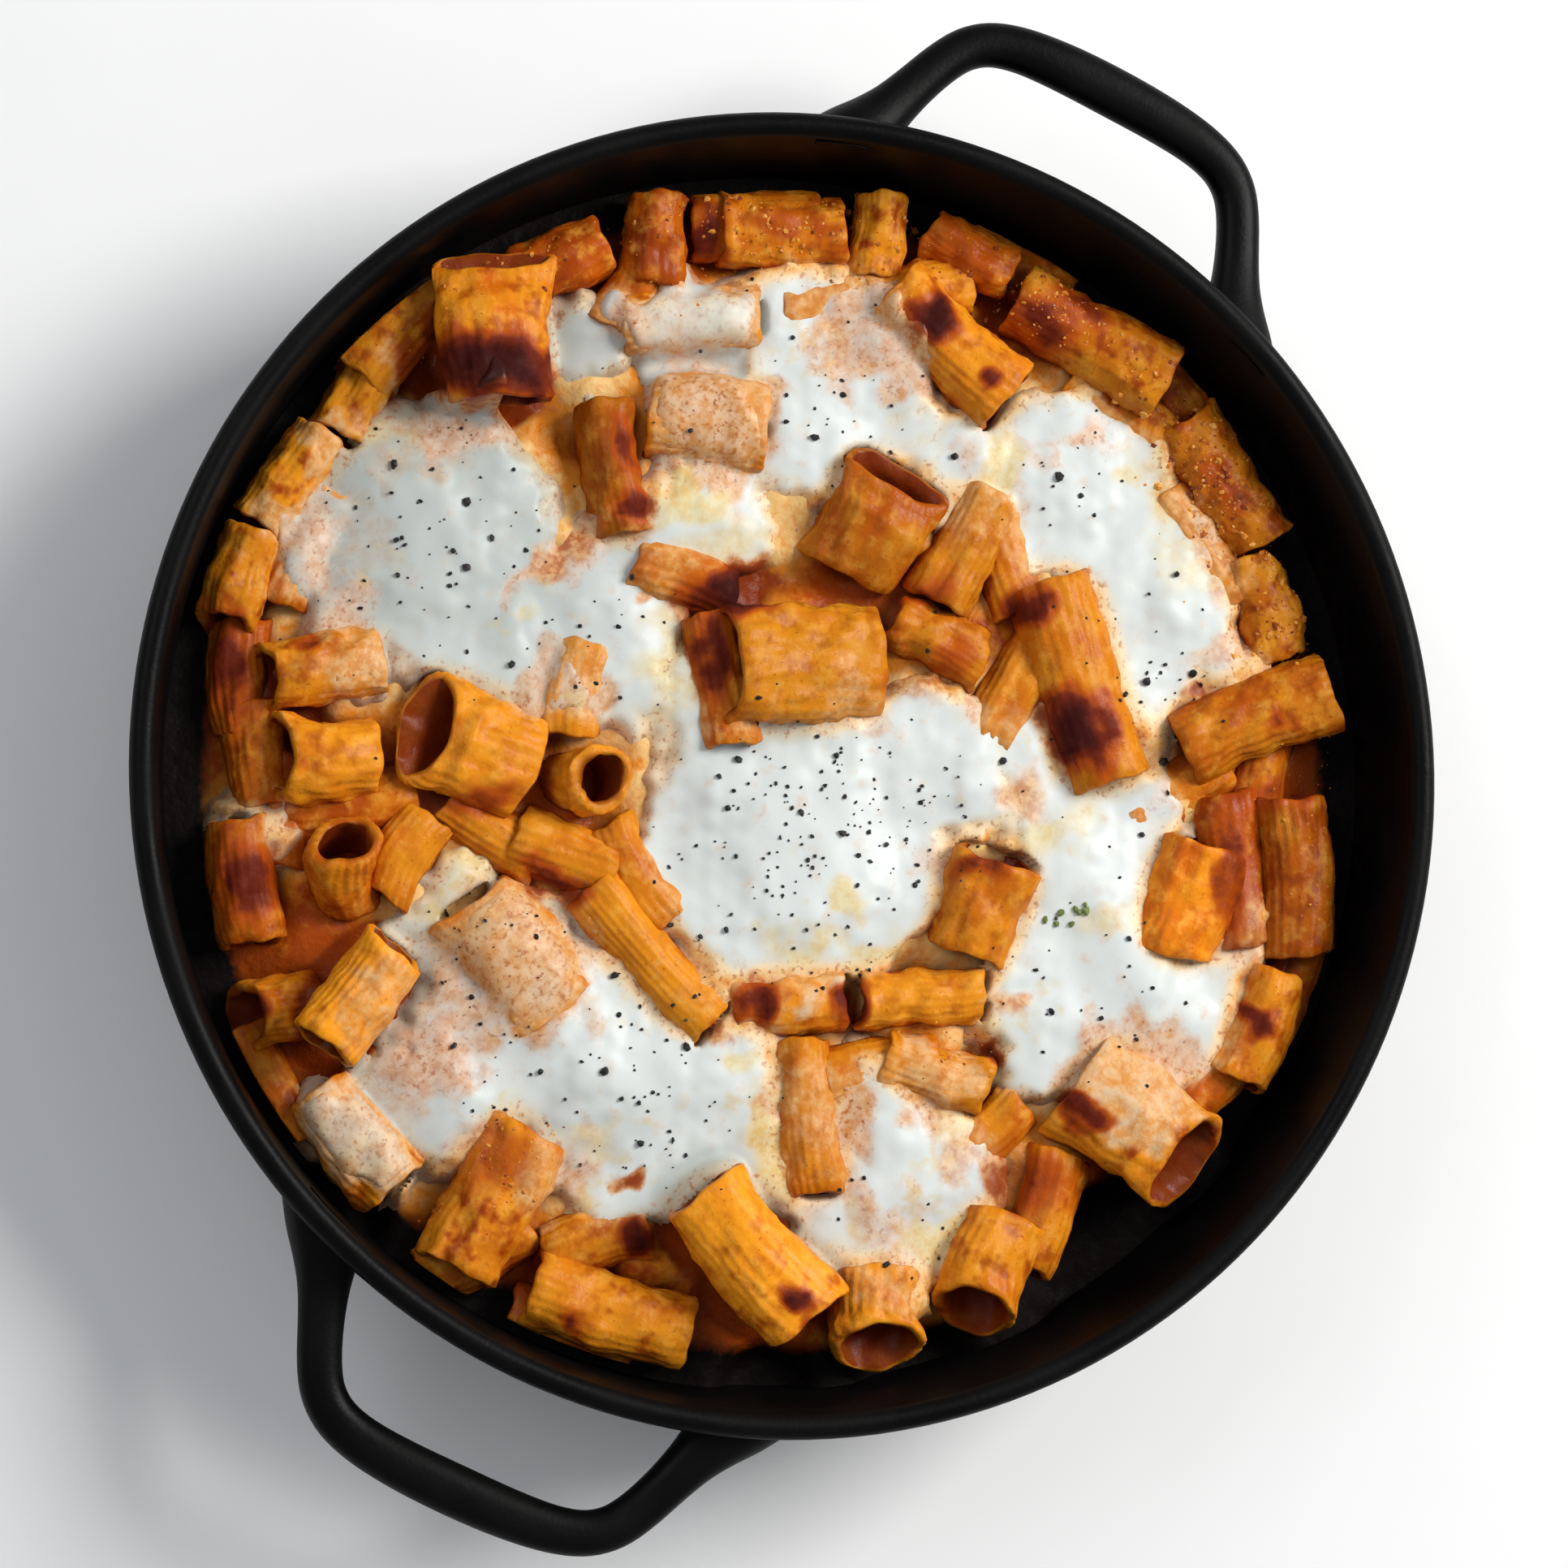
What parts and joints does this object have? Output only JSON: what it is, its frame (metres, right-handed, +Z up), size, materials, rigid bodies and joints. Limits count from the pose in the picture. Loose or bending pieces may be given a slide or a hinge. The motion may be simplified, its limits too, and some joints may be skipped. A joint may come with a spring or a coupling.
{
  "type": "baked rigatoni in a cast-iron pan",
  "caption": "Baked rigatoni in tomato sauce under melted, browned mozzarella with black pepper, in a round black cast-iron pan with two loop handles.",
  "frame": {"origin": "centre of the pan's underside, on the surface that the pan stands on", "axes": "+Z up; X through the middles of the two loop handles; Y across, to the pan's open sides"},
  "size_m": [0.3176, 0.2598, 0.056],
  "materials": {
    "cast_iron": "seasoned black iron, satin",
    "tomato_sauce": "thick glossy tomato and cream sauce, dark where it has baked on",
    "sauced_pasta": "ridged pasta coated in orange sauce, golden to dark brown where it has baked",
    "mozzarella": "melted cheese, smooth and soft-glossy, off-white with browned freckles"
  },
  "bodies": {
    "root": {"pan": "cast_iron", "pasta_bed": "tomato_sauce", "mozzarella_01": "mozzarella", "mozzarella_02": "mozzarella", "mozzarella_03": "mozzarella", "mozzarella_04": "mozzarella", "mozzarella_05": "mozzarella", "mozzarella_06": "mozzarella", "mozzarella_07": "mozzarella", "mozzarella_08": "mozzarella", "mozzarella_09": "mozzarella", "mozzarella_10": "mozzarella", "mozzarella_11": "mozzarella", "rigatoni_01": "sauced_pasta", "rigatoni_02": "sauced_pasta", "rigatoni_03": "sauced_pasta", "rigatoni_04": "sauced_pasta", "rigatoni_05": "sauced_pasta", "rigatoni_06": "sauced_pasta", "rigatoni_07": "sauced_pasta", "rigatoni_08": "sauced_pasta", "rigatoni_09": "sauced_pasta", "rigatoni_10": "sauced_pasta", "rigatoni_11": "sauced_pasta", "rigatoni_12": "sauced_pasta", "rigatoni_13": "sauced_pasta", "rigatoni_14": "sauced_pasta", "rigatoni_15": "sauced_pasta", "rigatoni_16": "sauced_pasta", "rigatoni_17": "sauced_pasta", "rigatoni_18": "sauced_pasta", "rigatoni_19": "sauced_pasta", "rigatoni_20": "sauced_pasta", "rigatoni_21": "sauced_pasta", "rigatoni_22": "sauced_pasta", "rigatoni_23": "sauced_pasta", "rigatoni_24": "sauced_pasta", "rigatoni_25": "sauced_pasta", "rigatoni_26": "sauced_pasta", "rigatoni_27": "sauced_pasta", "rigatoni_28": "sauced_pasta", "rigatoni_29": "sauced_pasta", "rigatoni_30": "sauced_pasta", "rigatoni_31": "sauced_pasta", "rigatoni_32": "sauced_pasta", "rigatoni_33": "sauced_pasta", "rigatoni_34": "sauced_pasta", "rigatoni_35": "sauced_pasta", "rigatoni_36": "sauced_pasta", "rigatoni_37": "sauced_pasta", "rigatoni_38": "sauced_pasta", "rigatoni_39": "sauced_pasta", "rigatoni_40": "sauced_pasta", "rigatoni_41": "sauced_pasta", "rigatoni_42": "sauced_pasta", "rigatoni_43": "sauced_pasta", "rigatoni_44": "sauced_pasta", "rigatoni_45": "sauced_pasta", "rigatoni_46": "sauced_pasta", "rigatoni_47": "sauced_pasta"}
  },
  "joints": []
}
